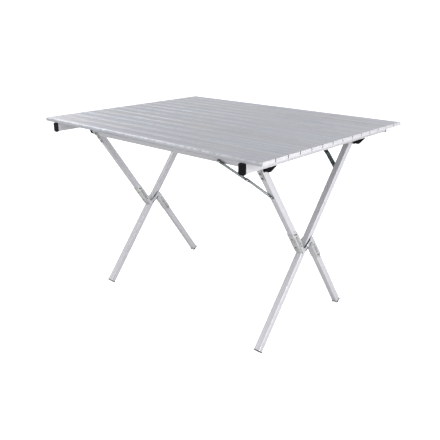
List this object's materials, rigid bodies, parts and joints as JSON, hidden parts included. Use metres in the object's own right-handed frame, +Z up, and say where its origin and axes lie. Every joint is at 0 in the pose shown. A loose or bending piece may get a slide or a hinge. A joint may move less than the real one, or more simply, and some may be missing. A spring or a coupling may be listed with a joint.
{
  "type": "roll-top camping table",
  "caption": "Portable aluminium table with a roll-up slatted top on two crossed folding leg pairs, cross rails and hinged braces.",
  "frame": {"origin": "on the floor below the middle of the top", "axes": "+X along the slats, +Y across them away from the front edge, +Z up"},
  "size_m": [1.02, 0.806, 0.7],
  "materials": {
    "slat_aluminium": "brushed, clear anodised",
    "tube_aluminium": "satin anodised",
    "zinc_steel": "zinc plated",
    "dark_steel": "dark zinc plated",
    "black_plastic": "moulded, satin",
    "foot_plastic": "moulded, matt"
  },
  "bodies": {
    "top_frame": {"end_rail_left": "tube_aluminium", "end_rail_right": "tube_aluminium", "end_cap_front_left": "black_plastic", "end_cap_front_right": "black_plastic", "end_cap_back_left": "black_plastic", "end_cap_back_right": "black_plastic"},
    "back_frame": {"long_rail_back": "tube_aluminium", "rail_plug_back_left": "black_plastic", "rail_plug_back_right": "black_plastic", "leg_bracket_back_left": "zinc_steel", "leg_bracket_back_right": "zinc_steel", "leg_straight_left": "tube_aluminium", "leg_straight_right": "tube_aluminium", "foot_front_left": "foot_plastic", "foot_front_right": "foot_plastic", "brace_back_lower": "zinc_steel", "brace_back_upper": "dark_steel"},
    "front_frame": {"long_rail_front": "tube_aluminium", "rail_plug_front_left": "black_plastic", "rail_plug_front_right": "black_plastic", "leg_bracket_front_left": "zinc_steel", "leg_bracket_front_right": "zinc_steel", "leg_upper_left": "tube_aluminium", "leg_upper_right": "tube_aluminium", "leg_lower_left": "tube_aluminium", "leg_lower_right": "tube_aluminium", "foot_back_left": "foot_plastic", "foot_back_right": "foot_plastic", "sleeve_upper_left": "zinc_steel", "sleeve_upper_right": "zinc_steel", "sleeve_lower_left": "zinc_steel", "sleeve_lower_right": "zinc_steel", "cross_plate_outer_left": "zinc_steel", "cross_plate_outer_right": "zinc_steel", "cross_plate_inner_left": "zinc_steel", "cross_plate_inner_right": "zinc_steel", "pivot_pin_left": "zinc_steel", "pivot_pin_right": "zinc_steel", "brace_front_lower": "zinc_steel", "brace_front_upper": "dark_steel"},
    "slat_01": {"slat_01": "slat_aluminium"},
    "slat_02": {"slat_02": "slat_aluminium"},
    "slat_03": {"slat_03": "slat_aluminium"},
    "slat_04": {"slat_04": "slat_aluminium"},
    "slat_05": {"slat_05": "slat_aluminium"},
    "slat_06": {"slat_06": "slat_aluminium"},
    "slat_07": {"slat_07": "slat_aluminium"},
    "slat_08": {"slat_08": "slat_aluminium"},
    "slat_09": {"slat_09": "slat_aluminium"},
    "slat_10": {"slat_10": "slat_aluminium"},
    "slat_11": {"slat_11": "slat_aluminium"},
    "slat_12": {"slat_12": "slat_aluminium"},
    "slat_13": {"slat_13": "slat_aluminium"},
    "slat_14": {"slat_14": "slat_aluminium"}
  },
  "joints": [
    {"name": "frame_close", "type": "hinge", "parent": "top_frame", "child": "back_frame", "pos_m": [0, 0.256, 0.64195], "axis": [1, 0, 0], "range_deg": [0, 36.3]},
    {"name": "leg_scissor", "type": "hinge", "parent": "back_frame", "child": "front_frame", "pos_m": [0, 0, 0.3185], "axis": [1, 0, 0], "range_deg": [-73, 0]},
    {"name": "top_lift", "type": "slide", "parent": "top_frame", "child": "slat_14", "axis": [0, 0, 1], "range_m": [0, 0.12]},
    {"name": "top_roll_13", "type": "hinge", "parent": "slat_14", "child": "slat_13", "pos_m": [0, 0.342, 0.7], "axis": [-1, 0, 0], "range_deg": [0, 39.2]},
    {"name": "top_roll_12", "type": "hinge", "parent": "slat_13", "child": "slat_12", "pos_m": [0, 0.285, 0.7], "axis": [-1, 0, 0], "range_deg": [0, 40.2]},
    {"name": "top_roll_11", "type": "hinge", "parent": "slat_12", "child": "slat_11", "pos_m": [0, 0.228, 0.7], "axis": [-1, 0, 0], "range_deg": [0, 41.3]},
    {"name": "top_roll_10", "type": "hinge", "parent": "slat_11", "child": "slat_10", "pos_m": [0, 0.171, 0.7], "axis": [-1, 0, 0], "range_deg": [0, 42.5]},
    {"name": "top_roll_09", "type": "hinge", "parent": "slat_10", "child": "slat_09", "pos_m": [0, 0.114, 0.7], "axis": [-1, 0, 0], "range_deg": [0, 43.8]},
    {"name": "top_roll_08", "type": "hinge", "parent": "slat_09", "child": "slat_08", "pos_m": [0, 0.057, 0.7], "axis": [-1, 0, 0], "range_deg": [0, 45.3]},
    {"name": "top_roll_07", "type": "hinge", "parent": "slat_08", "child": "slat_07", "pos_m": [0, 0, 0.7], "axis": [-1, 0, 0], "range_deg": [0, 46.9]},
    {"name": "top_roll_06", "type": "hinge", "parent": "slat_07", "child": "slat_06", "pos_m": [0, -0.057, 0.7], "axis": [-1, 0, 0], "range_deg": [0, 48.7]},
    {"name": "top_roll_05", "type": "hinge", "parent": "slat_06", "child": "slat_05", "pos_m": [0, -0.114, 0.7], "axis": [-1, 0, 0], "range_deg": [0, 50.7]},
    {"name": "top_roll_04", "type": "hinge", "parent": "slat_05", "child": "slat_04", "pos_m": [0, -0.171, 0.7], "axis": [-1, 0, 0], "range_deg": [0, 53]},
    {"name": "top_roll_03", "type": "hinge", "parent": "slat_04", "child": "slat_03", "pos_m": [0, -0.228, 0.7], "axis": [-1, 0, 0], "range_deg": [0, 55.6]},
    {"name": "top_roll_02", "type": "hinge", "parent": "slat_03", "child": "slat_02", "pos_m": [0, -0.285, 0.7], "axis": [-1, 0, 0], "range_deg": [0, 58.7]},
    {"name": "top_roll", "type": "hinge", "parent": "slat_02", "child": "slat_01", "pos_m": [0, -0.342, 0.7], "axis": [-1, 0, 0], "range_deg": [0, 62.1]}
  ],
  "couplings": [
    {"joint": "leg_scissor", "follows": "frame_close", "ratio": -2},
    {"joint": "top_roll_13", "follows": "top_roll", "ratio": 0.62641},
    {"joint": "top_roll_12", "follows": "top_roll", "ratio": 0.64251},
    {"joint": "top_roll_11", "follows": "top_roll", "ratio": 0.66023},
    {"joint": "top_roll_10", "follows": "top_roll", "ratio": 0.67955},
    {"joint": "top_roll_09", "follows": "top_roll", "ratio": 0.70048},
    {"joint": "top_roll_08", "follows": "top_roll", "ratio": 0.72464},
    {"joint": "top_roll_07", "follows": "top_roll", "ratio": 0.7504},
    {"joint": "top_roll_06", "follows": "top_roll", "ratio": 0.77939},
    {"joint": "top_roll_05", "follows": "top_roll", "ratio": 0.81159},
    {"joint": "top_roll_04", "follows": "top_roll", "ratio": 0.84863},
    {"joint": "top_roll_03", "follows": "top_roll", "ratio": 0.8905},
    {"joint": "top_roll_02", "follows": "top_roll", "ratio": 0.94042}
  ]
}
